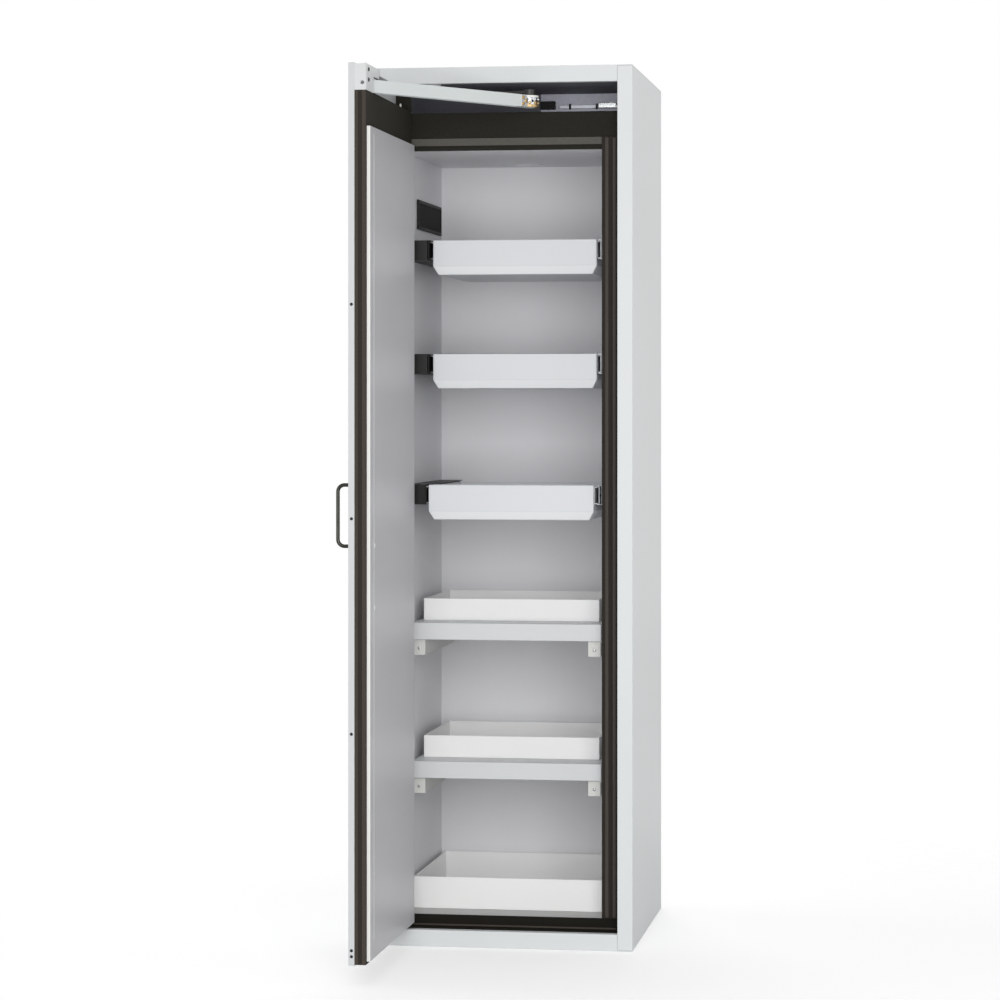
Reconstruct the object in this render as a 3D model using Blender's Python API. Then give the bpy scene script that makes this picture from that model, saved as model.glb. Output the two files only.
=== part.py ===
"""Fire-resistant safety cabinet for hazardous materials, 600 mm wide, with one wing door.

Lengths are in metres. Places are measured from the left side, the front plane and the floor,
with the door shut. An empty at the lower left front corner carries them all, so that the
world's origin lies on the floor under the middle of the cabinet, with +Z up and the front to -Y.
"""
import math

import bmesh
import bpy
from mathutils import Matrix, Vector

# Overall size
cabinet_width = 0.600
cabinet_depth = 0.615
cabinet_height = 1.953

# Clearances
fit_gap = 0.0003
cut_overrun = 0.010

# Edges turned by less than this are shaded smooth
smooth_degrees = 30

# Sheet-steel carcass and the front frame that its returns make
sheet = 0.0015
frame_side_width = 0.0333
frame_top_height = 0.036
frame_bottom_height = 0.0365
frame_lip_depth = 0.020

# Fire-resistant walls and the space inside them
side_wall_reach = 0.075
rebate_depth = 0.062
interior_floor = 0.062
roof_wall_thickness = 0.085
back_wall_thickness = 0.045

# Recess above the opening for the door closer
recess_height = 0.096
recess_depth = 0.295
recess_plate_thickness = 0.002
recess_plate_from_left = 0.355

# Dark strips round the rebate
strip_thickness = 0.0035
header_board_height = 0.057
lintel_strip_height = 0.0165

# Exhaust duct and its spigot
duct_radius = 0.035
duct_from_back = 0.135
spigot_radius = 0.0375
spigot_wall = 0.0015
spigot_height = 0.045
spigot_flange_radius = 0.050
spigot_flange_thickness = 0.002
duct_sides = 24

# Intake grille on the left inner wall
grille_from_front = 0.235
grille_from_back = 0.025
grille_above_runner = 0.0335
grille_height = 0.068
grille_thickness = 0.004

# Door
door_gap = 0.003
door_setback = 0.0015
door_skin_depth = 0.013
door_core_reach = 0.037
door_panel_thickness = 0.0077
door_panel_inset = 0.008
door_panel_below_header = 0.017
core_edge_inset = 0.001
edge_strip_width = 0.008
edge_strip_depth = 0.002
edge_strip_from_face = 0.0205
hinge_from_edge = 0.0315
hinge_behind_face = 0.0058
door_open_degrees = 90
pivot_radius = 0.003
pivot_clearance = 0.0006
pivot_reach = 0.013
hole_sides = 16

# Bow handle and lock on the door's face
handle_from_edge = 0.045
handle_height = 0.972
handle_hole_pitch = 0.128
handle_projection = 0.035
handle_rod_radius = 0.004
handle_bend_radius = 0.014
handle_bend_steps = 5
lock_below_handle = 0.134
lock_radius = 0.014
lock_thickness = 0.0012
key_slot_width = 0.0025
key_slot_length = 0.016
key_slot_depth = 0.0007
lock_sides = 24

# Closer: an arm from the door's top channel and a lever on a fixed spindle meet at an elbow
closer_line = 0.0275
arm_pivot_from_right = 0.125
spindle_from_left = 0.1464
elbow_shut_from_left = 0.0393
elbow_shut_from_front = 0.231
arm_height = 0.027
arm_clearance = 0.0008
arm_width = 0.018
arm_web = 0.002
arm_closed_end = 0.014
lever_thickness = 0.006
lever_width = 0.019
lever_clearance = 0.004
elbow_radius = 0.013
elbow_cap_height = 0.0026
spindle_radius = 0.006
spindle_clearance = 0.0005
spindle_below_lever = 0.003
stud_head_radius = 0.0095
stud_head_height = 0.0035
bracket_width = 0.044
bracket_depth = 0.056
bracket_thickness = 0.0035
bar_end_steps = 8
shoe_foot_length = 0.079
shoe_head_length = 0.137
shoe_height = 0.056
shoe_thickness = 0.003
shoe_corner = 0.006
end_hole_radius = 0.004
end_hole_behind_face = 0.0295
end_hole_above_channel = 0.0155

# Drawers
drawer_left_margin = 0.060
drawer_right_margin = 0.0175
drawer_front_plane = 0.110
drawer_back_gap = 0.030
drawer_front_depth = 0.012
drawer_front_height = 0.078
drawer_tray_height = 0.0745
drawer_sheet = 0.0015
drawer_corner_cut = 0.011
drawer_corner_height = 0.019
drawer_foot_slope = 0.008
drawer_bottom_shares = (0.8392, 0.6892, 0.5173)
third_drawer_ajar = 0.058

# Telescopic runners
runner_thickness = 0.013
runner_height = 0.045
runner_sheet = 0.0015
runner_outer_flange = 0.008
runner_middle_web = 0.003
runner_middle_flange = 0.0065
runner_play = 0.0003
runner_inner_flange = 0.007
runner_above_bottom = 0.055
runner_outer_front = 0.100
runner_outer_back_gap = 0.025
runner_middle_front = 0.104
runner_middle_back_gap = 0.036
middle_travel_share = 0.5

# Shelves, their rails and the trays
shelf_top_shares = (0.3795, 0.1965)
shelf_front = 0.116
shelf_back_gap = 0.014
shelf_side_gap = 0.009
shelf_height = 0.038
shelf_sheet = 0.002
rail_height = 0.035
rail_reach = 0.039
rail_box_width = 0.028
rail_sheet = 0.0025
rail_front_margin = 0.010
rail_back_margin = 0.012
tray_side_margin = 0.014
tray_front_margin = 0.084
tray_back_margin = 0.016
tray_height = 0.050
tray_wall = 0.003
sump_side_margin = 0.010
sump_front = 0.142
sump_back_margin = 0.010
sump_height = 0.0715

# Places that follow from the sizes above
inner_left = side_wall_reach
inner_right = cabinet_width - side_wall_reach
interior_back = cabinet_depth - back_wall_thickness
recess_floor = cabinet_height - recess_height
interior_ceiling = recess_floor - roof_wall_thickness
interior_height = interior_ceiling - interior_floor
header_board_bottom = recess_floor - header_board_height
duct_from_front = cabinet_depth - duct_from_back
grille_length = interior_back - grille_from_back - grille_from_front
opening_left = frame_side_width
opening_right = cabinet_width - frame_side_width
opening_top = cabinet_height - frame_top_height
opening_bottom = frame_bottom_height
carcass_left = sheet + fit_gap
carcass_right = cabinet_width - carcass_left
carcass_back = cabinet_depth - sheet - fit_gap
carcass_low = sheet + fit_gap
carcass_high = cabinet_height - sheet - fit_gap
wall_low = interior_floor + fit_gap
wall_high = recess_floor - fit_gap
lip_back = frame_lip_depth + fit_gap

door_left = opening_left + door_gap
door_right = opening_right - door_gap
door_bottom = opening_bottom + door_gap
door_top = opening_top - door_gap
door_face = door_setback
skin_back = door_face + door_skin_depth
core_back = door_face + door_core_reach
hinge_x = door_left + hinge_from_edge
hinge_y = door_face + hinge_behind_face
door_panel_top = header_board_bottom - door_panel_below_header
channel_floor = recess_floor
end_hole_height = channel_floor + end_hole_above_channel
arm_pivot_from_left = cabinet_width - arm_pivot_from_right
spindle_x = spindle_from_left
elbow_from_line = elbow_shut_from_front - closer_line
arm_length = math.hypot(arm_pivot_from_left - elbow_shut_from_left, elbow_from_line)
lever_length = math.hypot(spindle_x - elbow_shut_from_left, elbow_from_line)
arm_low = channel_floor + sheet + arm_clearance
arm_high = arm_low + arm_height
lever_low = arm_high + lever_clearance
lever_high = lever_low + lever_thickness
handle_x = door_right - handle_from_edge

drawer_left = inner_left + drawer_left_margin
drawer_right = inner_right - drawer_right_margin
drawer_back = interior_back - drawer_back_gap
drawer_bottoms = [interior_floor + interior_height * share for share in drawer_bottom_shares]
grille_bottom = drawer_bottoms[0] + runner_above_bottom + runner_height / 2 + grille_above_runner
runner_outer_length = interior_back - runner_outer_back_gap - runner_outer_front
runner_middle_length = interior_back - runner_middle_back_gap - runner_middle_front
shelf_tops = [interior_floor + interior_height * share for share in shelf_top_shares]
shelf_length = interior_back - shelf_back_gap - shelf_front

for leftover in list(bpy.data.objects):
    bpy.data.objects.remove(leftover, do_unlink=True)

shut_places = {}


def linear(channel):
    """One sRGB channel, 0 to 1, as a linear value."""
    if channel <= 0.04045:
        return channel / 12.92
    return ((channel + 0.055) / 1.055) ** 2.4


def finish(name, hex_colour, roughness, metallic):
    """A Principled material from an sRGB hex colour."""
    material = bpy.data.materials.new(name)
    material.use_nodes = True
    shader = material.node_tree.nodes["Principled BSDF"]
    colour = [linear(int(hex_colour[start:start + 2], 16) / 255) for start in (0, 2, 4)]
    shader.inputs["Base Color"].default_value = (*colour, 1)
    shader.inputs["Roughness"].default_value = roughness
    shader.inputs["Metallic"].default_value = metallic
    return material


def axis_empty(name, place, parent=None, degrees=0):
    """An empty at a place in the shut cabinet, turned about Z, that carries what moves with it."""
    empty = bpy.data.objects.new(name, None)
    bpy.context.collection.objects.link(empty)
    shut_places[name] = Vector(place)
    empty.location = place
    if parent:
        empty.parent = parent
        empty.location = Vector(place) - shut_places[parent.name]
    empty.rotation_euler[2] = math.radians(degrees)
    return empty


def add_object(name, form, material, group):
    """Turn a bmesh, drawn where it lies in the shut cabinet, into a named object of a group."""
    mesh = bpy.data.meshes.new(name)
    bmesh.ops.recalc_face_normals(form, faces=form.faces)
    form.to_mesh(mesh)
    form.free()
    if material:
        mesh.materials.append(material)
    body = bpy.data.objects.new(name, mesh)
    bpy.context.collection.objects.link(body)
    body.parent = group
    body.location = -shut_places[group.name]
    return body


def prism(name, plane, outline, low, high, material=None, group=None):
    """A closed outline in the XY, XZ or YZ plane, extruded from low to high along the third axis."""
    first, second, third = {"XY": (0, 1, 2), "XZ": (0, 2, 1), "YZ": (1, 2, 0)}[plane]
    form = bmesh.new()
    corners = []
    for across, along in outline:
        place = Vector()
        place[first] = across
        place[second] = along
        place[third] = low
        corners.append(form.verts.new(place))
    face = form.faces.new(corners)
    grown = bmesh.ops.extrude_face_region(form, geom=[face])["geom"]
    step = Vector()
    step[third] = high - low
    bmesh.ops.translate(form, verts=[v for v in grown if isinstance(v, bmesh.types.BMVert)], vec=step)
    return add_object(name, form, material, group or cabinet)


def rectangle(x, y):
    return [(x[0], y[0]), (x[1], y[0]), (x[1], y[1]), (x[0], y[1])]


def block(name, x, y, z, material=None, group=None):
    """A box between pairs of low and high places."""
    return prism(name, "XY", rectangle(x, y), z[0], z[1], material, group)


def rod(name, axis, centre, radius, low, high, sides, material=None, group=None):
    """A cylinder along an axis, from low to high, whose centre is given in the other two axes."""
    plane = {"X": "YZ", "Y": "XZ", "Z": "XY"}[axis]
    turns = [2 * math.pi * (step + 0.5) / sides for step in range(sides)]
    outline = [(centre[0] + radius * math.cos(t), centre[1] + radius * math.sin(t)) for t in turns]
    body = prism(name, plane, outline, low, high, material, group)
    return smooth(body)


def smooth(body):
    body.data.shade_smooth()
    body.data.set_sharp_from_angle(angle=math.radians(smooth_degrees))
    return body


def combine(target, tool, operation):
    """Join a tool shape to a target, or cut it away, and remove the tool."""
    modifier = target.modifiers.new(operation.title(), "BOOLEAN")
    modifier.operation = operation
    modifier.solver = "EXACT"
    modifier.object = tool
    tool.hide_render = True
    tool.display_type = "WIRE"
    shaped = bpy.data.meshes.new_from_object(target.evaluated_get(bpy.context.evaluated_depsgraph_get()))
    target.modifiers.clear()
    target.data = shaped
    bpy.data.objects.remove(tool, do_unlink=True)
    return target


def join(target, tool):
    return combine(target, tool, "UNION")


def cut(target, tool):
    return combine(target, tool, "DIFFERENCE")


def mirrored(outline):
    """An outline across the cabinet, seen from the other side."""
    return [(cabinet_width - x, other) for x, other in outline]


def bar_outline(x, y, width):
    """A bar along X whose ends are half circles about two pivots."""
    radius = width / 2
    outline = []
    for end, start_angle in ((x[1], -math.pi / 2), (x[0], math.pi / 2)):
        for step in range(bar_end_steps + 1):
            angle = start_angle + math.pi * step / bar_end_steps
            outline.append((end + radius * math.cos(angle), y + radius * math.sin(angle)))
    return outline


def elbow_when_open():
    """In plan, with the door open: the arm's pivot on the door, and the elbow of arm and lever."""
    reach = Vector((arm_pivot_from_left - hinge_x, closer_line - hinge_y))
    reach.rotate(Matrix.Rotation(math.radians(-door_open_degrees), 2))
    pivot = Vector((hinge_x, hinge_y)) + reach
    line = Vector((spindle_x, closer_line)) - pivot
    along = (line.length ** 2 + arm_length ** 2 - lever_length ** 2) / (2 * line.length)
    aside = math.sqrt(arm_length ** 2 - along ** 2)
    unit = line.normalized()
    return pivot, pivot + unit * along + Vector((unit.y, -unit.x)) * aside


frame_paint = finish("Light grey powder coat", "D3D6D9", 0.45, 0)
board_face = finish("Grey melamine facing", "B4B4B7", 0.40, 0)
dark_board = finish("Dark fire board", "26231F", 0.80, 0)
brown_strip = finish("Brown intumescent strip", "443A34", 0.70, 0)
bare_steel = finish("Galvanised steel", "A3A6A9", 0.35, 1)
pale_steel = finish("Pale grey coated steel", "C3C6C6", 0.40, 0)
drawer_paint = finish("Drawer powder coat", "D5D8DB", 0.42, 0)
shelf_paint = finish("Shelf powder coat", "CACDCF", 0.45, 0)
black_steel = finish("Black steel", "1D1D1B", 0.50, 0)
dark_chrome = finish("Dark chrome", "55554F", 0.20, 1)
white_plastic = finish("White polypropylene", "F0F0EE", 0.45, 0)

arm_pivot_open, elbow_open = elbow_when_open()
arm_line = elbow_open - arm_pivot_open
lever_line = elbow_open - Vector((spindle_x, closer_line))
arm_turn = math.degrees(math.atan2(arm_line.y, arm_line.x)) + door_open_degrees - 180
lever_turn = math.degrees(math.atan2(lever_line.y, lever_line.x)) - 180

cabinet = axis_empty("cabinet_corner", (0, 0, 0))
cabinet.location = (-cabinet_width / 2, -cabinet_depth / 2, 0)
door = axis_empty("door_axis", (hinge_x, hinge_y, 0), cabinet, -door_open_degrees)
arm_carrier = axis_empty("closer_arm_axis", (arm_pivot_from_left, closer_line, 0), door, arm_turn)
lever_carrier = axis_empty("closer_lever_axis", (spindle_x, closer_line, 0), cabinet, lever_turn)

# Steel carcass: each side is one folded sheet with a front return and a lip
side_outline = [
    (0, 0), (opening_left, 0), (opening_left, frame_lip_depth), (opening_left - sheet, frame_lip_depth),
    (opening_left - sheet, sheet), (sheet, sheet), (sheet, cabinet_depth), (0, cabinet_depth),
]
prism("side_panel_left", "XY", side_outline, carcass_low, carcass_high, frame_paint)
prism("side_panel_right", "XY", mirrored(side_outline), carcass_low, carcass_high, frame_paint)

# The top and the base cover the whole plan, and their returns close the front frame
across_frame = (opening_left + fit_gap, opening_right - fit_gap)
whole_width = (0, cabinet_width)
whole_depth = (0, cabinet_depth)
top_span = (cabinet_height - sheet, cabinet_height)
top_panel = block("top_panel", whole_width, whole_depth, top_span, frame_paint)
return_high = cabinet_height - sheet / 2
top_return = [
    (0, return_high), (0, opening_top), (frame_lip_depth, opening_top),
    (frame_lip_depth, opening_top + sheet), (sheet, opening_top + sheet), (sheet, return_high),
]
join(top_panel, prism("top_return", "YZ", top_return, *across_frame))
base_panel = block("base_panel", whole_width, whole_depth, (0, sheet), frame_paint)
base_return = [
    (0, sheet / 2), (sheet, sheet / 2), (sheet, opening_bottom - sheet),
    (frame_lip_depth, opening_bottom - sheet), (frame_lip_depth, opening_bottom), (0, opening_bottom),
]
join(base_panel, prism("base_return", "YZ", base_return, *across_frame))
block(
    "back_panel", (carcass_left, carcass_right), (cabinet_depth - sheet, cabinet_depth),
    (carcass_low, carcass_high), frame_paint,
)

# Fire-resistant boards: the sides reach forward into the frame's hollow
frame_fill = opening_left - sheet - fit_gap
wall_back_face = interior_back - fit_gap
side_wall_outline = [
    (carcass_left, sheet + fit_gap), (frame_fill, sheet + fit_gap), (frame_fill, rebate_depth),
    (inner_left, rebate_depth), (inner_left, wall_back_face), (carcass_left, wall_back_face),
]
prism("wall_left", "XY", side_wall_outline, wall_low, wall_high, board_face)
prism("wall_right", "XY", mirrored(side_wall_outline), wall_low, wall_high, board_face)
base_board_top = opening_bottom - sheet - fit_gap
base_wall_outline = [
    (lip_back, carcass_low), (carcass_back, carcass_low), (carcass_back, interior_floor),
    (rebate_depth, interior_floor), (rebate_depth, base_board_top), (lip_back, base_board_top),
]
prism("wall_base", "YZ", base_wall_outline, carcass_left, carcass_right, board_face)
between_walls = (inner_left + fit_gap, inner_right - fit_gap)
wall_top = block(
    "wall_top", between_walls, (rebate_depth, wall_back_face), (interior_ceiling, wall_high), board_face,
)
block(
    "wall_back", (carcass_left, carcass_right), (interior_back, carcass_back), (wall_low, wall_high),
    board_face,
)
roof_low = opening_top + sheet + fit_gap
roof_outline = [
    (lip_back, roof_low), (recess_depth, roof_low), (recess_depth, recess_floor),
    (carcass_back, recess_floor), (carcass_back, carcass_high), (lip_back, carcass_high),
]
roof_board = prism("roof_board", "YZ", roof_outline, carcass_left, carcass_right, dark_board)

# The exhaust duct runs from the inside through the boards and the top sheet to its spigot
duct_centre = (cabinet_width / 2, duct_from_front)
duct_spans = (
    (wall_top, interior_ceiling, recess_floor),
    (roof_board, recess_floor, cabinet_height - sheet),
    (top_panel, cabinet_height - sheet, cabinet_height),
)
for pierced, low, high in duct_spans:
    cut(pierced, rod(
        "duct_cut", "Z", duct_centre, duct_radius, low - cut_overrun, high + cut_overrun, duct_sides,
    ))
spigot_foot = cabinet_height + fit_gap
spigot = rod(
    "exhaust_spigot", "Z", duct_centre, spigot_flange_radius, spigot_foot,
    spigot_foot + spigot_flange_thickness, duct_sides, bare_steel,
)
spigot_top = cabinet_height + spigot_height
collar_foot = spigot_foot + spigot_flange_thickness / 2
join(spigot, rod("collar", "Z", duct_centre, spigot_radius, collar_foot, spigot_top, duct_sides))
cut(spigot, rod(
    "collar_bore", "Z", duct_centre, spigot_radius - spigot_wall, spigot_foot - cut_overrun,
    spigot_top + cut_overrun, duct_sides,
))
smooth(spigot)

# Dark strips on the rebate's faces
strip_back = rebate_depth - fit_gap
strip_depth = (strip_back - strip_thickness, strip_back)
sill_top = interior_floor - fit_gap
jamb_height = (interior_floor, header_board_bottom - fit_gap)
jamb_strip = (opening_left + fit_gap, inner_left)
block("jamb_strip_left", jamb_strip, strip_depth, jamb_height, brown_strip)
jamb_strip = (inner_right, opening_right - fit_gap)
block("jamb_strip_right", jamb_strip, strip_depth, jamb_height, brown_strip)
block("header_board", across_frame, strip_depth, (header_board_bottom, wall_high), dark_board)
lintel_high = header_board_bottom - fit_gap
lintel_height = (lintel_high - lintel_strip_height, lintel_high)
block("lintel_strip", between_walls, strip_depth, lintel_height, brown_strip)
block("sill_strip", across_frame, strip_depth, (opening_bottom + fit_gap, sill_top), dark_board)

# Plate on the right part of the closer recess's back
plate_back = recess_depth - fit_gap
plate_high = opening_top + sheet
plate_across = (recess_plate_from_left, across_frame[1])
block(
    "recess_plate", plate_across, (plate_back - recess_plate_thickness, plate_back),
    (recess_floor + fit_gap, plate_high), bare_steel,
)

# Intake grille on the left inner wall
grille_back = inner_left + fit_gap
block(
    "intake_grille", (grille_back, grille_back + grille_thickness),
    (grille_from_front, grille_from_front + grille_length), (grille_bottom, grille_bottom + grille_height),
    black_steel,
)


def shelf(name, top):
    """A sheet shelf whose four edges are turned down, and stand on the rails."""
    across = (inner_left + shelf_side_gap, inner_right - shelf_side_gap)
    along = (shelf_front, shelf_front + shelf_length)
    low = top - shelf_height
    plate = block(name, across, along, (low, top), shelf_paint)
    under = [(near + shelf_sheet, far - shelf_sheet) for near, far in (across, along)]
    cut(plate, block("shelf_under", *under, (low - cut_overrun, top - shelf_sheet)))


def shelf_rail(name, shelf_top, side):
    """A folded rail under a shelf: a flange to the wall, a box below it and a closed front end."""
    top = shelf_top - shelf_height - fit_gap
    low = top - rail_height
    under = top - rail_sheet
    wall = inner_left + fit_gap
    near, far = wall + rail_reach - rail_box_width, wall + rail_reach
    outline = [
        (wall, top), (far, top), (far, low), (far - rail_sheet, low), (far - rail_sheet, under),
        (near + rail_sheet, under), (near + rail_sheet, low), (near, low), (near, under), (wall, under),
    ]
    end_plate = [(near, low), (far, low), (far, top - rail_sheet / 2), (near, top - rail_sheet / 2)]
    if side == "right":
        outline, end_plate = mirrored(outline), mirrored(end_plate)
    front = shelf_front + rail_front_margin
    back = shelf_front + shelf_length - rail_back_margin
    rail = prism(name, "XZ", outline, front, back, shelf_paint)
    join(rail, prism("end_plate", "XZ", end_plate, front, front + rail_sheet))


def open_box(name, x, y, z, wall, material, group=None):
    """A tray open at the top."""
    tray = block(name, x, y, z, material, group)
    inside = [(low + wall, high - wall) for low, high in (x, y)]
    return cut(tray, block("tray_inside", *inside, (z[0] + wall, z[1] + cut_overrun), None, group))


for level, top in zip(("upper", "lower"), shelf_tops):
    shelf("shelf_" + level, top)
    for side in ("left", "right"):
        shelf_rail("shelf_rail_" + level + "_" + side, top, side)
    edge = shelf_side_gap + tray_side_margin
    open_box(
        "tray_" + level, (inner_left + edge, inner_right - edge),
        (shelf_front + tray_front_margin, shelf_front + shelf_length - tray_back_margin),
        (top + fit_gap, top + fit_gap + tray_height), tray_wall, white_plastic,
    )
sump_foot = interior_floor + fit_gap
open_box(
    "sump_tray", (inner_left + sump_side_margin, inner_right - sump_side_margin),
    (sump_front, interior_back - sump_back_margin), (sump_foot, sump_foot + sump_height), tray_wall,
    white_plastic,
)


def runner_outline(side, points):
    """An outline across a runner: distance from its wall side, and height from its middle."""
    if side == "left":
        return [(drawer_left - runner_thickness + u, v) for u, v in points]
    return [(drawer_right + runner_thickness - u, v) for u, v in points]


def channel(web, flange_end, half_height, thickness):
    """A channel's outline, its web away from the flanges' ends."""
    inner = web + math.copysign(thickness, flange_end - web)
    flat = half_height - thickness
    return [
        (web, -half_height), (flange_end, -half_height), (flange_end, -flat), (inner, -flat),
        (inner, flat), (flange_end, flat), (flange_end, half_height), (web, half_height),
    ]


middle_half = runner_height / 2 - runner_sheet - runner_play
inner_half = middle_half - runner_sheet - runner_play
inner_web = runner_thickness + drawer_sheet / 2
inner_flange_end = runner_thickness - runner_inner_flange
spacers = {
    "left": drawer_left - runner_thickness - inner_left - fit_gap,
    "right": inner_right - drawer_right - runner_thickness - fit_gap,
}


def basin_outline(bottom, wall):
    """A drawer's basin across the cabinet, sloped in at its lower corners, or its inside, a wall in."""
    low = bottom + wall
    high = bottom + drawer_tray_height + (cut_overrun if wall else 0)
    foot = bottom + drawer_corner_height + wall / 2
    left, right = drawer_left + wall, drawer_right - wall
    cut_left, cut_right = left + drawer_corner_cut, right - drawer_corner_cut
    return [(cut_left, low), (cut_right, low), (right, foot), (right, high), (left, high), (left, foot)]


def drawer(number, bottom, ajar):
    """A sheet drawer on two telescopic runners, ajar by a length."""
    middle = bottom + runner_above_bottom
    name = "drawer_" + str(number)
    for side in ("left", "right"):
        outer = channel(-spacers[side], runner_outer_flange, runner_height / 2, runner_sheet)
        outer[3] = (runner_sheet, outer[3][1])
        outer[4] = (runner_sheet, outer[4][1])
        outline = [(x, middle + v) for x, v in runner_outline(side, outer)]
        prism(
            name + "_runner_outer_" + side, "XZ", outline, runner_outer_front,
            runner_outer_front + runner_outer_length, black_steel if side == "left" else bare_steel,
        )
        flange_end = runner_middle_web + runner_middle_flange
        slider = channel(runner_middle_web, flange_end, middle_half, runner_sheet)
        outline = [(x, middle + v) for x, v in runner_outline(side, slider)]
        front = runner_middle_front - ajar * middle_travel_share
        prism(
            name + "_runner_middle_" + side, "XZ", outline, front, front + runner_middle_length, bare_steel,
        )

    front = drawer_front_plane - ajar
    back = drawer_back - ajar
    tray_front = front + drawer_front_depth + fit_gap
    tray = prism(name + "_tray", "XZ", basin_outline(bottom, 0), tray_front, back, drawer_paint)
    inside = (tray_front + drawer_sheet, back - drawer_sheet)
    cut(tray, prism("tray_inside", "XZ", basin_outline(bottom, drawer_sheet), *inside))
    for side in ("left", "right"):
        rail = channel(inner_web, inner_flange_end, inner_half, runner_sheet)
        outline = [(x, middle + v) for x, v in runner_outline(side, rail)]
        join(tray, prism("inner_rail", "XZ", outline, tray_front, back))

    top = bottom + drawer_front_height
    foot = bottom + drawer_corner_height
    face = [
        (drawer_left + drawer_corner_cut, bottom), (drawer_right - drawer_corner_cut, bottom),
        (drawer_right, foot), (drawer_right, top), (drawer_left, top), (drawer_left, foot),
    ]
    panel = prism(name + "_front", "XZ", face, front, front + drawer_front_depth, drawer_paint)
    hollow_x = (drawer_left + drawer_corner_cut, drawer_right - drawer_corner_cut)
    hollow_z = (foot, top - drawer_sheet)
    hollow_y = (front + drawer_sheet, front + drawer_front_depth + cut_overrun)
    cut(panel, block("front_hollow", hollow_x, hollow_y, hollow_z))
    slope = [
        (front - cut_overrun, bottom - cut_overrun), (front - cut_overrun, foot),
        (front, foot), (front + drawer_foot_slope, bottom),
        (front + drawer_foot_slope, bottom - cut_overrun),
    ]
    cut(panel, prism("foot_slope", "YZ", slope, drawer_left - cut_overrun, drawer_right + cut_overrun))


for number, bottom in enumerate(drawer_bottoms, start=1):
    drawer(number, bottom, third_drawer_ajar if number == len(drawer_bottoms) else 0)

# Door skin: a pan of sheet steel with a pivot hole in its top and its bottom flange
door_skin = block(
    "door_skin", (door_left, door_right), (door_face, skin_back), (door_bottom, door_top), frame_paint, door,
)
pan_left, pan_right = door_left + sheet, door_right - sheet
pan_low, pan_high = door_bottom + sheet, door_top - sheet
cut(door_skin, block(
    "pan_inside", (pan_left, pan_right), (door_face + sheet, skin_back + cut_overrun), (pan_low, pan_high),
    None, door,
))
pivot_hole = pivot_radius + pivot_clearance
pivot_place = (hinge_x, hinge_y)
for low, high in ((door_bottom, pan_low), (pan_high, door_top)):
    cut(door_skin, rod(
        "pivot_cut", "Z", pivot_place, pivot_hole, low - sheet, high + sheet, hole_sides, None, door,
    ))
lip_top_pin = (opening_top - fit_gap - pivot_reach, opening_top - fit_gap)
rod("pivot_pin_top", "Z", pivot_place, pivot_radius, *lip_top_pin, hole_sides, bare_steel)
lip_low_pin = (opening_bottom + fit_gap, opening_bottom + fit_gap + pivot_reach)
rod("pivot_pin_bottom", "Z", pivot_place, pivot_radius, *lip_low_pin, hole_sides, bare_steel)

# Door core: it fills the pan and stands behind it, with a groove in its free edge for a strip
core_front = door_face + sheet + fit_gap
core_step = skin_back + fit_gap
core_left, core_right = door_left + core_edge_inset, door_right - core_edge_inset
strip_low = door_face + edge_strip_from_face
strip_high = strip_low + edge_strip_width
groove = core_right - edge_strip_depth
core_outline = [
    (pan_left + fit_gap, core_front), (pan_right - fit_gap, core_front), (pan_right - fit_gap, core_step),
    (core_right, core_step), (core_right, strip_low), (groove, strip_low), (groove, strip_high),
    (core_right, strip_high), (core_right, core_back), (core_left, core_back), (core_left, core_step),
    (pan_left + fit_gap, core_step),
]
core_height = (pan_low + fit_gap, channel_floor - fit_gap)
door_core = prism("door_core", "XY", core_outline, *core_height, dark_board, door)
pocket_high = lip_low_pin[1] + pivot_clearance
cut(door_core, rod(
    "pivot_pocket", "Z", pivot_place, pivot_hole, pan_low - sheet, pocket_high, hole_sides, None, door,
))
block(
    "door_edge_strip", (groove + fit_gap, core_right), (strip_low + fit_gap, strip_high - fit_gap),
    core_height, brown_strip, door,
)
panel_front = core_back + fit_gap
block(
    "door_inner_panel", (door_left + door_panel_inset, door_right - door_panel_inset),
    (panel_front, panel_front + door_panel_thickness), (door_bottom + door_panel_inset, door_panel_top),
    board_face, door,
)

# Door top channel, open to the inside, with the arm's stud, a shoe plate on its free end that
# reaches over the arm, and a hole in the end
channel_x = (pan_left + fit_gap, pan_right - fit_gap)
channel_y = (core_front, core_back)
channel_z = (channel_floor, pan_high - fit_gap)
door_channel = block("door_top_channel", channel_x, channel_y, channel_z, pale_steel, door)
channel_inside_y = (core_front - cut_overrun, core_back + cut_overrun)
cut(door_channel, block(
    "channel_inside", (channel_x[0] + sheet, channel_x[1] - sheet), channel_inside_y,
    (channel_floor + sheet, pan_high + cut_overrun), None, door,
))
arm_pivot = (arm_pivot_from_left, closer_line)
stud_head = (arm_high + fit_gap, arm_high + fit_gap + stud_head_height)
stud = (channel_floor + sheet / 2, stud_head[1])
join(door_channel, rod("stud", "Z", arm_pivot, spindle_radius, *stud, hole_sides, None, door))
join(door_channel, rod("stud_head", "Z", arm_pivot, stud_head_radius, *stud_head, hole_sides, None, door))
shoe_right = channel_x[1]
shoe_foot_left = shoe_right - shoe_foot_length
shoe_head_left = shoe_right - shoe_head_length
shoe_neck = stud_head[1] + arm_clearance
shoe_high = channel_floor + shoe_height
shoe_outline = [
    (shoe_foot_left, channel_floor), (shoe_right, channel_floor), (shoe_right, shoe_high),
    (shoe_head_left + shoe_corner, shoe_high), (shoe_head_left, shoe_high - shoe_corner),
    (shoe_head_left, shoe_neck), (shoe_foot_left, shoe_neck),
]
join(door_channel, prism(
    "shoe", "XZ", shoe_outline, core_back - shoe_thickness, core_back, None, door,
))
end_hole = (door_face + end_hole_behind_face, end_hole_height)
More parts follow.
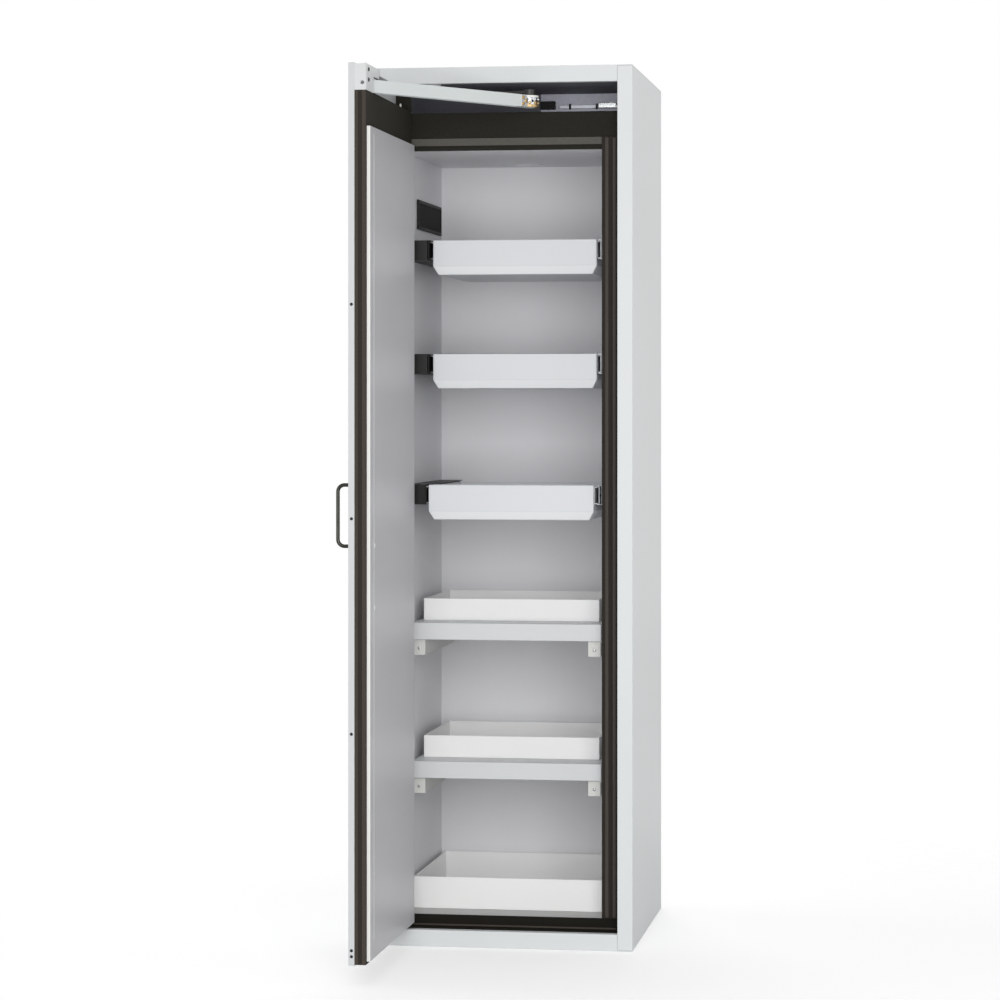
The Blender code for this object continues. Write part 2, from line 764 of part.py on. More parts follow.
cut(door_channel, rod(
    "end_hole", "X", end_hole, end_hole_radius, channel_x[1] - sheet - fit_gap, channel_x[1] + cut_overrun,
    hole_sides, None, door,
))

# Closer arm: a channel bar, open below, that turns on the door's stud
arm_end = (arm_pivot_from_left - arm_length, closer_line)
arm = prism(
    "closer_arm", "XY", bar_outline((arm_end[0], arm_pivot_from_left), closer_line, arm_width),
    arm_low, arm_high, pale_steel, arm_carrier,
)
join(arm, rod("arm_eye", "Z", arm_end, elbow_radius, arm_low, arm_high, hole_sides, None, arm_carrier))
arm_hollow_x = (arm_end[0] + arm_closed_end, arm_pivot_from_left - arm_closed_end)
arm_hollow_y = (closer_line - arm_width / 2 + arm_web, closer_line + arm_width / 2 - arm_web)
cut(arm, block(
    "arm_hollow", arm_hollow_x, arm_hollow_y, (arm_low - cut_overrun, arm_high - arm_web), None,
    arm_carrier,
))
pivot_bore = spindle_radius + spindle_clearance
cut(arm, rod(
    "arm_bore", "Z", arm_pivot, pivot_bore, arm_low - cut_overrun, arm_high + cut_overrun, hole_sides,
    None, arm_carrier,
))

# Closer lever on the fixed spindle, with the elbow's cap over the arm's end
spindle = (spindle_x, closer_line)
lever_end = (spindle_x - lever_length, closer_line)
lever = prism(
    "closer_lever", "XY", bar_outline((lever_end[0], spindle_x), closer_line, lever_width),
    lever_low, lever_high, black_steel, lever_carrier,
)
join(lever, rod(
    "elbow_cap", "Z", lever_end, elbow_radius, arm_high + fit_gap, lever_high + elbow_cap_height,
    hole_sides, None, lever_carrier,
))
cut(lever, rod(
    "lever_bore", "Z", spindle, pivot_bore, lever_low - cut_overrun, lever_high + cut_overrun, hole_sides,
    None, lever_carrier,
))

# The spindle hangs from a bracket under the roof board
bracket_high = roof_low - fit_gap
bracket_x = (spindle_x - bracket_width / 2, spindle_x + bracket_width / 2)
bracket_y = (lip_back + fit_gap, lip_back + fit_gap + bracket_depth)
bracket = block(
    "closer_bracket", bracket_x, bracket_y, (bracket_high - bracket_thickness, bracket_high), bare_steel,
)
join(bracket, rod(
    "spindle", "Z", spindle, spindle_radius, lever_low - spindle_below_lever,
    bracket_high - bracket_thickness / 2, hole_sides,
))


def bow_points(x, height):
    """The bow's centre line, from one foot on the door's face to the other, with round bends."""
    foot = door_face - fit_gap
    out = door_face - handle_projection + handle_rod_radius
    half = handle_hole_pitch / 2
    points = [(x, foot, height - half)]
    rising = range(handle_bend_steps + 1)
    for sign, steps in ((-1, rising), (1, reversed(rising))):
        centre_y = out + handle_bend_radius
        centre_z = height + sign * (half - handle_bend_radius)
        for step in steps:
            angle = math.pi / 2 * step / handle_bend_steps
            along = sign * handle_bend_radius * math.cos(angle)
            points.append((x, centre_y - handle_bend_radius * math.sin(angle), centre_z + along))
    points.append((x, foot, height + half))
    return points


handle_curve = bpy.data.curves.new("door_handle", "CURVE")
handle_curve.dimensions = "3D"
handle_curve.bevel_depth = handle_rod_radius
handle_curve.bevel_resolution = 2
handle_curve.use_fill_caps = True
handle_curve.materials.append(dark_chrome)
bow = handle_curve.splines.new("POLY")
bow_line = bow_points(handle_x, handle_height)
bow.points.add(len(bow_line) - 1)
for point, place in zip(bow.points, bow_line):
    point.co = (*place, 1)
handle = bpy.data.objects.new("door_handle", handle_curve)
bpy.context.collection.objects.link(handle)
handle.parent = door
handle.location = -shut_places[door.name]

# Lock cylinder: a round face with a key slot, on its own turning axis
lock_height = handle_height - lock_below_handle
lock_axis = axis_empty("lock_axis", (handle_x, door_face, lock_height), door)
lock_y = (door_face - fit_gap - lock_thickness, door_face - fit_gap)
lock = rod(
    "lock_cylinder", "Y", (handle_x, lock_height), lock_radius, *lock_y, lock_sides, dark_chrome, lock_axis,
)
slot_x = (handle_x - key_slot_width / 2, handle_x + key_slot_width / 2)
slot_z = (lock_height - key_slot_length / 2, lock_height + key_slot_length / 2)
slot_y = (lock_y[0] - cut_overrun, lock_y[0] + key_slot_depth)
cut(lock, block("key_slot", slot_x, slot_y, slot_z, None, lock_axis))
smooth(lock)
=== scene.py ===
import math

import bmesh
import bpy
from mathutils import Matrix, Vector


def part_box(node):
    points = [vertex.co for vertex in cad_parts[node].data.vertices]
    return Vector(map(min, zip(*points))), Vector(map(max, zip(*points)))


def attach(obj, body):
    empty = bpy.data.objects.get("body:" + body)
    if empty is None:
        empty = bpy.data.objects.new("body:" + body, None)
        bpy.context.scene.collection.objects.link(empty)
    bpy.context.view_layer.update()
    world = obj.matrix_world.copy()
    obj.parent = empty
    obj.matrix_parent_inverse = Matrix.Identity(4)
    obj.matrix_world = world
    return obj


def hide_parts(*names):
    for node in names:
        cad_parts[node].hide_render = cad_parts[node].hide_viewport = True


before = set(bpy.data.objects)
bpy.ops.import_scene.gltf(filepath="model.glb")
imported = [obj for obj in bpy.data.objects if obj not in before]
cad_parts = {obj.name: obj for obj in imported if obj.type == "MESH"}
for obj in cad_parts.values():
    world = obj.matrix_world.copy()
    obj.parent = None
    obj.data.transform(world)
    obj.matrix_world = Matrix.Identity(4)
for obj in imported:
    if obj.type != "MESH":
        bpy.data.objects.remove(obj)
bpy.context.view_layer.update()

# Outer carcass
# The cabinet's shell: five zinc-plated sheet-steel panels, folded at the press brake and powder
# coated light grey. Each side panel turns round the front edge into the frame that the door shuts
# in, and straps with blind rivets hold the back sheet down both edges.

collection = bpy.context.scene.collection


def linear(hex_colour):
    """An sRGB hex colour as linear red, green, blue and alpha."""
    channels = [int(hex_colour[start:start + 2], 16) / 255 for start in (0, 2, 4)]
    return [c / 12.92 if c <= 0.04045 else ((c + 0.055) / 1.055) ** 2.4 for c in channels] + [1]


def add_node(tree, kind, settings=None, **links):
    """Add a node with its settings and links. An input goes by its name, or by its number as in_0."""
    node = tree.nodes.new(kind)

    def socket(key):
        return node.inputs[int(key[3:]) if key.startswith("in_") else key.replace("_", " ")]

    for key, value in (settings or {}).items():
        if key.startswith("in_") or key in node.inputs:
            socket(key).default_value = value
        else:
            setattr(node, key, value)
    for key, source in links.items():
        tree.links.new(source, socket(key))
    return node


def new_material(name, hex_colour, roughness, metallic=0, ior=1.5):
    """A material with its Principled shader, its tree and object coordinates in metres."""
    material = bpy.data.materials.new(name)
    material.use_nodes = True
    tree = material.node_tree
    shader = tree.nodes["Principled BSDF"]
    shader.inputs["Base Color"].default_value = linear(hex_colour)
    shader.inputs["Roughness"].default_value = roughness
    shader.inputs["Metallic"].default_value = metallic
    shader.inputs["IOR"].default_value = ior
    place = add_node(tree, "ShaderNodeTexCoord").outputs["Object"]
    return material, tree, shader, place


def tint(tree, shader, factor, dark, light):
    """Colour between two hex values by a factor."""
    ramp = add_node(tree, "ShaderNodeValToRGB", Fac=factor)
    ramp.color_ramp.elements[0].color = linear(dark)
    ramp.color_ramp.elements[1].color = linear(light)
    tree.links.new(ramp.outputs["Color"], shader.inputs["Base Color"])


def relief(tree, shader, height, strength, distance):
    """Bump from a height, with its depth in metres."""
    bump = add_node(tree, "ShaderNodeBump", {"Strength": strength, "Distance": distance}, Height=height)
    tree.links.new(bump.outputs["Normal"], shader.inputs["Normal"])


def roughen(tree, shader, factor, low, high):
    """Roughness between two values by a factor."""
    span = add_node(tree, "ShaderNodeMapRange", {"To Min": low, "To Max": high}, Value=factor)
    tree.links.new(span.outputs["Result"], shader.inputs["Roughness"])


def powder_coat(name, dark, light, roughness):
    """Polyester powder coat on steel: a faint orange peel, and a slow drift of shade over the sheet."""
    material, tree, shader, place = new_material(name, light, roughness)
    # the shade drifts over some 290 mm
    drift = add_node(tree, "ShaderNodeTexNoise", {"Scale": 3.5, "Detail": 2}, Vector=place)
    tint(tree, shader, drift.outputs["Fac"], dark, light)
    roughen(tree, shader, drift.outputs["Fac"], roughness - 0.05, roughness + 0.06)
    # orange peel is about 1.5 mm from crest to crest, drawn at 3 mm to show
    peel = add_node(tree, "ShaderNodeTexNoise", {"Scale": 330, "Detail": 1}, Vector=place)
    relief(tree, shader, peel.outputs["Fac"], 0.10, 0.0004)
    return material


def copy_of(node):
    """A CAD node's mesh as one clean bmesh, its flat faces whole again."""
    form = bmesh.new()
    form.from_mesh(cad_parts[node].data)
    bmesh.ops.remove_doubles(form, verts=form.verts, dist=1e-5)
    bmesh.ops.dissolve_limit(form, angle_limit=math.radians(1), verts=form.verts, edges=form.edges)
    return form


def add_piece(name, form, material):
    """A piece from a bmesh, with its material."""
    mesh = bpy.data.meshes.new(name)
    form.to_mesh(mesh)
    form.free()
    mesh.materials.append(material)
    piece = bpy.data.objects.new(name, mesh)
    collection.objects.link(piece)
    return piece


def bake(piece):
    """Apply a piece's modifiers to its mesh."""
    graph = bpy.context.evaluated_depsgraph_get()
    shaped = bpy.data.meshes.new_from_object(
        piece.evaluated_get(graph), preserve_all_data_layers=True, depsgraph=graph,
    )
    piece.modifiers.clear()
    piece.data = shaped
    return piece


def round_edges(piece, radius, segments=2, angle=30):
    """Round a piece's edges, with flat faces kept flat to the eye."""
    for face in piece.data.polygons:
        face.use_smooth = True
    bevel = piece.modifiers.new("Round", "BEVEL")
    bevel.width = radius
    bevel.segments = segments
    bevel.limit_method = "ANGLE"
    bevel.angle_limit = math.radians(angle)
    bevel.use_clamp_overlap = True
    normals = piece.modifiers.new("Flat faces", "WEIGHTED_NORMAL")
    normals.mode = "FACE_AREA_WITH_ANGLE"
    normals.weight = 100
    return bake(piece)


def softened(node, body, material, radius, segments=2, angle=30):
    """Stand in for a CAD node with the same shape, its edges rounded as the sheet or board is."""
    piece = add_piece(node + "_shape", copy_of(node), material)
    round_edges(piece, radius, segments, angle)
    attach(piece, body)
    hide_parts(node)
    return piece


def new_shape_tree(name, sizes):
    """A Geometry Nodes tree with a named input for each size, and its sockets' identifiers."""
    tree = bpy.data.node_groups.new(name, "GeometryNodeTree")
    tree.interface.new_socket(name="Geometry", in_out="INPUT", socket_type="NodeSocketGeometry")
    tree.interface.new_socket(name="Geometry", in_out="OUTPUT", socket_type="NodeSocketGeometry")
    for size, kind in sizes.items():
        tree.interface.new_socket(name=size, in_out="INPUT", socket_type=kind)
    return tree, add_node(tree, "NodeGroupInput").outputs


def finish_tree(tree, geometry, material_input):
    """End a tree in Realize Instances and Set Material."""
    real = add_node(tree, "GeometryNodeRealizeInstances", Geometry=geometry)
    dressed = add_node(
        tree, "GeometryNodeSetMaterial", Geometry=real.outputs["Geometry"], Material=material_input,
    )
    add_node(tree, "NodeGroupOutput", Geometry=dressed.outputs["Geometry"])


def grow(name, tree, body, values, points=(), facing=()):
    """Run a tree on points, each with the way it faces, and bake it to a plain mesh on a body."""
    mesh = bpy.data.meshes.new(name)
    mesh.from_pydata([tuple(point) for point in points], [], [])
    turned = mesh.attributes.new("facing", "FLOAT_VECTOR", "POINT")
    for item, way in zip(turned.data, facing):
        item.vector = way
    piece = bpy.data.objects.new(name, mesh)
    collection.objects.link(piece)
    modifier = piece.modifiers.new("Grow", "NODES")
    modifier.node_group = tree
    for item in tree.interface.items_tree:
        if item.in_out == "INPUT" and item.name in values:
            modifier[item.identifier] = values[item.name]
    bake(piece)
    if "facing" in piece.data.attributes:
        piece.data.attributes.remove(piece.data.attributes["facing"])
    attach(piece, body)
    return piece


FLOAT, MATERIAL = "NodeSocketFloat", "NodeSocketMaterial"
rivet_tree, sizes = new_shape_tree("domed rivet", {
    "Head radius": FLOAT, "Head height": FLOAT, "Hole share": FLOAT, "Material": MATERIAL,
})
ball = add_node(
    rivet_tree, "GeometryNodeMeshUVSphere", {"Segments": 14, "Rings": 8}, Radius=sizes["Head radius"],
)
flatter = add_node(
    rivet_tree, "ShaderNodeMath", {"operation": "DIVIDE"},
    in_0=sizes["Head height"], in_1=sizes["Head radius"],
)
squat = add_node(rivet_tree, "ShaderNodeCombineXYZ", {"X": 1, "Y": 1}, Z=flatter.outputs["Value"])
dome = add_node(
    rivet_tree, "GeometryNodeTransform", Geometry=ball.outputs["Mesh"], Scale=squat.outputs["Vector"],
)
hole_radius = add_node(
    rivet_tree, "ShaderNodeMath", {"operation": "MULTIPLY"},
    in_0=sizes["Head radius"], in_1=sizes["Hole share"],
)
drill = add_node(
    rivet_tree, "GeometryNodeMeshCylinder", {"Vertices": 6},
    Radius=hole_radius.outputs["Value"], Depth=sizes["Head height"],
)
lifted = add_node(rivet_tree, "ShaderNodeCombineXYZ", Z=sizes["Head height"])
raised = add_node(
    rivet_tree, "GeometryNodeTransform",
    Geometry=drill.outputs["Mesh"], Translation=lifted.outputs["Vector"],
)
headed = add_node(
    rivet_tree, "GeometryNodeMeshBoolean", {"operation": "DIFFERENCE", "solver": "EXACT"},
    Mesh_1=dome.outputs["Geometry"], Mesh_2=raised.outputs["Geometry"],
)
facing = add_node(
    rivet_tree, "GeometryNodeInputNamedAttribute", {"data_type": "FLOAT_VECTOR", "Name": "facing"},
)
turn = add_node(
    rivet_tree, "FunctionNodeAlignRotationToVector", {"axis": "Z"}, Vector=facing.outputs["Attribute"],
)
placed = add_node(
    rivet_tree, "GeometryNodeInstanceOnPoints", Points=sizes["Geometry"], Instance=headed.outputs["Mesh"],
    Rotation=turn.outputs["Rotation"],
)
finish_tree(rivet_tree, placed.outputs["Instances"], sizes["Material"])


def rivets(name, body, material, points, facing, radius, height, hole_share=0.45):
    """Heads of rivets or screws, sunk by half in the surface that they hold."""
    ways = facing if isinstance(facing, list) else [facing] * len(points)
    return grow(name, rivet_tree, body, {
        "Head radius": radius, "Head height": height, "Hole share": hole_share, "Material": material,
    }, points, ways)


def boxed(name, body, material, low, high, radius=0.0004, segments=2):
    """A plain bar or sheet between two corners, with its edges rounded."""
    low, high = Vector(low), Vector(high)
    form = bmesh.new()
    bmesh.ops.create_cube(form, size=1)
    bmesh.ops.scale(form, vec=high - low, verts=form.verts)
    bmesh.ops.translate(form, vec=(low + high) / 2, verts=form.verts)
    piece = add_piece(name, form, material)
    round_edges(piece, radius, segments)
    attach(piece, body)
    return piece


cabinet_coat = powder_coat("light_grey_powder_coat", "DCDFE0", "E5E8E8", 0.42)
for panel in ("side_panel_left", "side_panel_right", "top_panel", "base_panel", "back_panel"):
    softened(panel, "cabinet", cabinet_coat, radius=0.0006)
back_low, back_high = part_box("back_panel")
strap_width, strap_thickness, strap_sink = 0.026, 0.0012, 0.0003
edge_gap, end_gap = 0.0006, 0.003
for side, edge, inward in (("left", back_low.x, 1), ("right", back_high.x, -1)):
    left, right = sorted((edge + inward * edge_gap, edge + inward * strap_width))
    boxed(
        "back_strap_" + side, "cabinet", cabinet_coat,
        (left, back_high.y - strap_sink, back_low.z + end_gap),
        (right, back_high.y + strap_thickness, back_high.z - end_gap), radius=0.0005,
    )
rivet_margin, first_rivet, rivet_pitch, rivets_per_strap = 0.014, 0.09, 0.147, 13
rivet_rows = [
    (x, back_high.y + strap_thickness, back_low.z + first_rivet + rivet_pitch * step)
    for x in (back_low.x + rivet_margin, back_high.x - rivet_margin) for step in range(rivets_per_strap)
]
rivets("back_rivets", "cabinet", cabinet_coat, rivet_rows, (0, 1, 0), radius=0.0048, height=0.0016)

# Fire-resistant lining
# Layered calcium-silicate boards with a grey melamine face make the walls, the ceiling and the
# floor of the store. They are screwed together behind the shell, and their joints stay visible.


def melamine(name, dark, light, roughness):
    """Melamine facing: smooth, with a fine pearl structure and very slight clouding."""
    material, tree, shader, place = new_material(name, light, roughness)
    # the clouds are about 450 mm wide
    cloud = add_node(tree, "ShaderNodeTexNoise", {"Scale": 2.2, "Detail": 3}, Vector=place)
    tint(tree, shader, cloud.outputs["Fac"], dark, light)
    # the pearl structure is near 1 mm, drawn at 2.5 mm to show
    pearl = add_node(tree, "ShaderNodeTexNoise", {"Scale": 400, "Detail": 1}, Vector=place)
    relief(tree, shader, pearl.outputs["Fac"], 0.08, 0.0003)
    return material


def fire_board(name, dark, light, roughness, grain):
    """Raw mineral fibre board: matt, with hardly any gloss. Grain is how many flecks lie in a metre."""
    material, tree, shader, place = new_material(name, light, roughness)
    shader.inputs["Specular IOR Level"].default_value = 0.15
    fleck = add_node(
        tree, "ShaderNodeTexNoise", {"Scale": grain, "Detail": 4, "Roughness": 0.7}, Vector=place,
    )
    tint(tree, shader, fleck.outputs["Fac"], dark, light)
    relief(tree, shader, fleck.outputs["Fac"], 0.25, 0.0004)
    return material


def face_with(piece, material, test):
    """Give a second material to the faces whose middle and normal pass a test."""
    piece.data.materials.append(material)
    for face in piece.data.polygons:
        if test(face.center, face.normal):
            face.material_index = len(piece.data.materials) - 1


# the lining is the same grey melamine as the door's panel, painted much lighter: painted light inside the
# store
lining_painted_light = melamine("melamine_lining_painted_light", "EBEBEE", "F3F3F5", 0.42)
floor_face = melamine("grey_melamine_floor", "B4B4B2", "C0C0BE", 0.45)
dark_board_and_painted_shade = fire_board("dark_fire_board_and_painted_shade", "1E1D18", "2F2D27", 0.8, 160)
rebate_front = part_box("wall_top")[0].y
front_edge = 0.0012  # the board's front edge with its rounding
for board in ("wall_left", "wall_right", "wall_base", "wall_top", "wall_back"):
    board_face = floor_face if board == "wall_base" else lining_painted_light
    lining = softened(board, "cabinet", board_face, radius=0.0008)
    if board in ("wall_top", "wall_base"):
        face_with(lining, dark_board_and_painted_shade, lambda middle, normal: middle.y < rebate_front + front_edge)

# Dark boards and seals round the opening
# Dark fire board faces the raw edges behind the steel frame and lines the recess over the opening.
# Brown intumescent strips down both sides swell shut in a fire, and grey-brown sealing beads are
# glued on the strips.

seal_strip = fire_board("brown_intumescent_strip", "27231F", "36302B", 0.7, 240)
lintel_face = fire_board("grey_brown_lintel_strip", "4E4C46", "66645E", 0.6, 200)
bead_grey = fire_board("grey_brown_sealing_bead", "403B36", "504A44", 0.55, 300)
# the roof board is painted pale blue-grey, lighter than the dark board round it: painted light and a
# painted reflection of the blue plate
roof_painted_reflection = fire_board("roof_board_painted_reflection", "696A71", "7D7E86", 0.6, 160)
sill_black = fire_board("black_sill_strip", "151410", "211F1A", 0.8, 200)
for board, face in (("roof_board", roof_painted_reflection), ("header_board", dark_board_and_painted_shade), ("sill_strip", sill_black)):
    softened(board, "cabinet", face, radius=0.0006)
for strip in ("jamb_strip_left", "jamb_strip_right"):
    softened(strip, "cabinet", seal_strip, radius=0.0006)
softened("lintel_strip", "cabinet", lintel_face, radius=0.0008)

jamb_low, jamb_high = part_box("jamb_strip_right")
bead_proud, bead_sink, bead_round, bead_end = 0.0022, 0.0005, 0.0010, 0.002
bead_reach = 0.2565
for side, mirror in (("right", 1), ("left", -1)):
    for bead, near, far in (("wide", 0.2325, 0.2405), ("narrow", 0.2495, bead_reach)):
        left, right = sorted((near * mirror, far * mirror))
        boxed(
            "jamb_bead_" + bead + "_" + side, "cabinet", bead_grey,
            (left, jamb_low.y - bead_proud, jamb_low.z + bead_end),
            (right, jamb_low.y + bead_sink, jamb_high.z - bead_end), bead_round, segments=3,
        )
sill_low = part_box("sill_strip")[0]
sill_bead_foot, sill_bead_head = sill_low.z + 0.0008, sill_low.z + 0.0048
boxed(
    "sill_bead", "cabinet", bead_grey, (-bead_reach, sill_low.y - bead_proud, sill_bead_foot),
    (bead_reach, sill_low.y + bead_sink, sill_bead_head), bead_round, segments=3,
)
recess_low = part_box("header_board")[1].z
recess_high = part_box("closer_bracket")[1].z
plate_low, plate_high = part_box("recess_plate")
board_outside, board_inside, board_front = 0.2980, 0.2960, -0.2860
foot_gap, board_gap = 0.0007, 0.0005
for side, mirror in (("left", -1), ("right", 1)):
    left, right = sorted((board_outside * mirror, board_inside * mirror))
    boxed(
        "recess_side_board_" + side, "cabinet", dark_board_and_painted_shade, (left, board_front, recess_low + foot_gap),
        (right, plate_high.y - board_gap, recess_high - board_gap), radius=0.0003,
    )

# Plate and bracket of the closer
# A passivated sheet with its lower edge turned forward closes part of the back of the recess in
# which the closer folds. It carries a black block, two clamps and a bright stop, and a
# zinc-plated bracket for the closer's spindle is screwed up under the roof board.


def zinc_sheet(name, dark, light, roughness, spangle):
    """Zinc on sheet steel: soft crystals in two shades of grey. Spangle is how many lie in a metre."""
    material, tree, shader, place = new_material(name, light, roughness, 1)
    crystal = add_node(tree, "ShaderNodeTexVoronoi", {"Scale": spangle, "Randomness": 1}, Vector=place)
    tint(tree, shader, crystal.outputs["Color"], dark, light)
    roughen(tree, shader, crystal.outputs["Color"], roughness - 0.08, roughness + 0.1)
    return material


def moulded(name, dark, light, roughness):
    """Injection-moulded plastic: a fine spark-eroded grain, even in colour but for faint flow marks."""
    material, tree, shader, place = new_material(name, light, roughness, 0, 1.53)
    # flow marks some 55 mm long
    flow = add_node(tree, "ShaderNodeTexNoise", {"Scale": 18, "Detail": 2}, Vector=place)
    tint(tree, shader, flow.outputs["Fac"], dark, light)
    # the grain is near 0.3 mm, drawn at 1 mm to show
    grain = add_node(tree, "ShaderNodeTexNoise", {"Scale": 1000, "Detail": 2}, Vector=place)
    relief(tree, shader, grain.outputs["Fac"], 0.15, 0.0002)
    return material


plate_painted_reflection = zinc_sheet("pale_plate_painted_reflection", "BDBECC", "D0D1DC", 0.5, 110)
# the plate is drawn pale blue-grey and hardly mirrors: partly the passivated sheet's own dull blue,
# partly a painted reflection of bright light
plate_painted_reflection.node_tree.nodes["Principled BSDF"].inputs["Metallic"].default_value = 0.35
zinc = zinc_sheet("galvanised_sheet", "9A9CA3", "B9BAC0", 0.38, 110)
zinc_small = zinc_sheet("zinc_plated_steel", "A9ABAD", "CDCFD0", 0.28, 260)
black_plastic_and_painted_shade = moulded("black_moulded_plastic_and_painted_shade", "121211", "1B1B19", 0.55)
# the spark-eroded grain holds the sheen back
black_plastic_and_painted_shade.node_tree.nodes["Principled BSDF"].inputs["Specular IOR Level"].default_value = 0.25
white_nylon = moulded("white_moulded_nylon", "E9E9E5", "F4F4F0", 0.4)
softened("recess_plate", "cabinet", plate_painted_reflection, radius=0.0004)
# each piece's left and right, how far before the plate its front and back lie, and its foot and head
flange_right = plate_high.x - 0.0006
for name, material, left, right, front, back, foot, head, radius, segments in (
    ("recess_plate_flange", zinc, 0.0980, flange_right, 0.0065, -0.0003, 1.8842, 1.8926, 0.0006, 2),
    # a black block stands out from the plate, left of the clamps
    ("recess_black_block", black_plastic_and_painted_shade, 0.0558, 0.0900, 0.0110, -0.0003, 1.8830, 1.9015, 0.0012, 3),
    ("recess_stop", zinc_small, 0.1892, 0.2308, 0.0100, 0.0060, 1.8850, 1.8972, 0.0012, 3),
    ("recess_clamp_1", black_plastic_and_painted_shade, 0.1212, 0.1264, 0.0085, 0.0060, 1.8825, 1.8950, 0.0005, 2),
    ("recess_clamp_2", black_plastic_and_painted_shade, 0.1832, 0.1884, 0.0085, 0.0060, 1.8825, 1.8950, 0.0005, 2),
):
    boxed(
        name, "cabinet", material, (left, plate_low.y - front, foot), (right, plate_low.y - back, head),
        radius, segments,
    )
softened("closer_bracket", "cabinet", zinc_small, radius=0.0004)
bracket_low, bracket_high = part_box("closer_bracket")
bracket_thickness, head_gap, screw_margin, second_row = 0.0035, 0.0001, 0.008, 0.026
bracket_screws = [
    (x, bracket_high.y - row, bracket_high.z - bracket_thickness - head_gap)
    for x in (bracket_low.x + screw_margin, bracket_high.x - screw_margin)
    for row in (screw_margin, second_row)
]
rivets(
    "bracket_screws", "cabinet", zinc_small, bracket_screws, (0, 0, -1),
    radius=0.0042, height=0.0026, hole_share=0.42,
)

# Exhaust spigot
# A spun collar of galvanised steel on a flat ring, riveted over the hole in the roof, takes the
# hose of the extraction.


def ring_of(count, centre, radius, height, shift=0):
    """Places spaced evenly round an upright axis, and the way out at each. Shift is part of a step."""
    angles = [2 * math.pi * (step + shift) / count for step in range(count)]
    ways = [(math.cos(angle), math.sin(angle), 0) for angle in angles]
    return [(centre[0] + radius * x, centre[1] + radius * y, height) for x, y, z in ways], ways


softened("exhaust_spigot", "cabinet", zinc, radius=0.0003)
spigot_low, spigot_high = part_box("exhaust_spigot")
ring_radius, ring_thickness, ring_rivets = 0.0437, 0.0020, 8
places, ways = ring_of(
    ring_rivets, (spigot_low + spigot_high) / 2, ring_radius, spigot_low.z + ring_thickness,
)
rivets("spigot_rivets", "cabinet", zinc_small, places, (0, 0, 1), radius=0.0030, height=0.0014)

# Intake grille
# A black moulded plate over the air inlet in the left wall, clipped into its cut-out: a rim round
# a row of upright slats.

COUNT, VECTOR = "NodeSocketInt", "NodeSocketVector"
slat_tree, sizes = new_shape_tree("row of slats", {
    "Count": COUNT, "Slat size": VECTOR, "First slat": VECTOR, "Step": VECTOR, "Material": MATERIAL,
})
line = add_node(
    slat_tree, "GeometryNodeMeshLine", {"mode": "OFFSET"}, Count=sizes["Count"],
    Start_Location=sizes["First slat"], Offset=sizes["Step"],
)
slat = add_node(slat_tree, "GeometryNodeMeshCube", Size=sizes["Slat size"])
placed = add_node(
    slat_tree, "GeometryNodeInstanceOnPoints", Points=line.outputs["Mesh"], Instance=slat.outputs["Mesh"],
)
finish_tree(slat_tree, placed.outputs["Instances"], sizes["Material"])

grille_low, grille_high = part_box("intake_grille")
plate_thickness, rim = 0.0014, 0.007
grille_back = boxed(
    "grille_plate", "cabinet", black_plastic_and_painted_shade, grille_low,
    (grille_low.x + plate_thickness, grille_high.y, grille_high.z), radius=0.0004,
)
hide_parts("intake_grille")
for name, low, high in (
    ("front", grille_low, (grille_high.x, grille_low.y + rim, grille_high.z)),
    ("back", (grille_low.x, grille_high.y - rim, grille_low.z), grille_high),
    ("bottom", grille_low, (grille_high.x, grille_high.y, grille_low.z + rim)),
    ("top", (grille_low.x, grille_low.y, grille_high.z - rim), grille_high),
):
    boxed("grille_rim_" + name, "cabinet", black_plastic_and_painted_shade, low, high, radius=0.0010, segments=3)
slat_count, slat_width, slat_depth, slat_place = 24, 0.0032, 0.0028, 0.0016
slat_pitch = (grille_high.y - grille_low.y - 2 * rim) / (slat_count + 1)
grow("grille_slats", slat_tree, "cabinet", {
    "Count": slat_count,
    "Slat size": (slat_depth, slat_width, grille_high.z - grille_low.z - rim),
    "First slat": (
        grille_low.x + slat_place, grille_low.y + rim + slat_pitch, (grille_low.z + grille_high.z) / 2,
    ),
    "Step": (0, slat_pitch, 0),
    "Material": black_plastic_and_painted_shade,
})

# Drawers on telescopic runners
# Three sheet-steel drawers, powder coated, each a shallow basin with a folded front. They slide on
# three-part steel runners: a fixed outer member, a middle member that follows, punched with a row
# of slots, and the drawer's own member along the basin.

slot_tree, sizes = new_shape_tree("row of slots", {
    "Count": COUNT, "Length": FLOAT, "Width": FLOAT, "Thickness": FLOAT, "First slot": VECTOR,
    "Step": VECTOR, "Material": MATERIAL,
})
line = add_node(
    slot_tree, "GeometryNodeMeshLine", {"mode": "OFFSET"}, Count=sizes["Count"],
    Start_Location=sizes["First slot"], Offset=sizes["Step"],
)
outline = add_node(
    slot_tree, "GeometryNodeCurvePrimitiveQuadrilateral", Width=sizes["Length"], Height=sizes["Width"],
)
# just under half the width, because a fillet of half would meet itself
end_radius = add_node(
    slot_tree, "ShaderNodeMath", {"operation": "MULTIPLY", "in_1": 0.49}, in_0=sizes["Width"],
)
rounded = add_node(
    slot_tree, "GeometryNodeFilletCurve", {"mode": "POLY", "Count": 4},
    Curve=outline.outputs["Curve"], Radius=end_radius.outputs["Value"],
)
filled = add_node(slot_tree, "GeometryNodeFillCurve", {"mode": "NGONS"}, Curve=rounded.outputs["Curve"])
deep = add_node(
    slot_tree, "GeometryNodeExtrudeMesh", {"Individual": False}, Mesh=filled.outputs["Mesh"],
    Offset_Scale=sizes["Thickness"],
)
upright = add_node(
    slot_tree, "GeometryNodeTransform", {"Rotation": (math.pi / 2, 0, math.pi / 2)},
    Geometry=deep.outputs["Mesh"],
)
placed = add_node(
    slot_tree, "GeometryNodeInstanceOnPoints", Points=line.outputs["Mesh"],
    Instance=upright.outputs["Geometry"],
)
finish_tree(slot_tree, placed.outputs["Instances"], sizes["Material"])

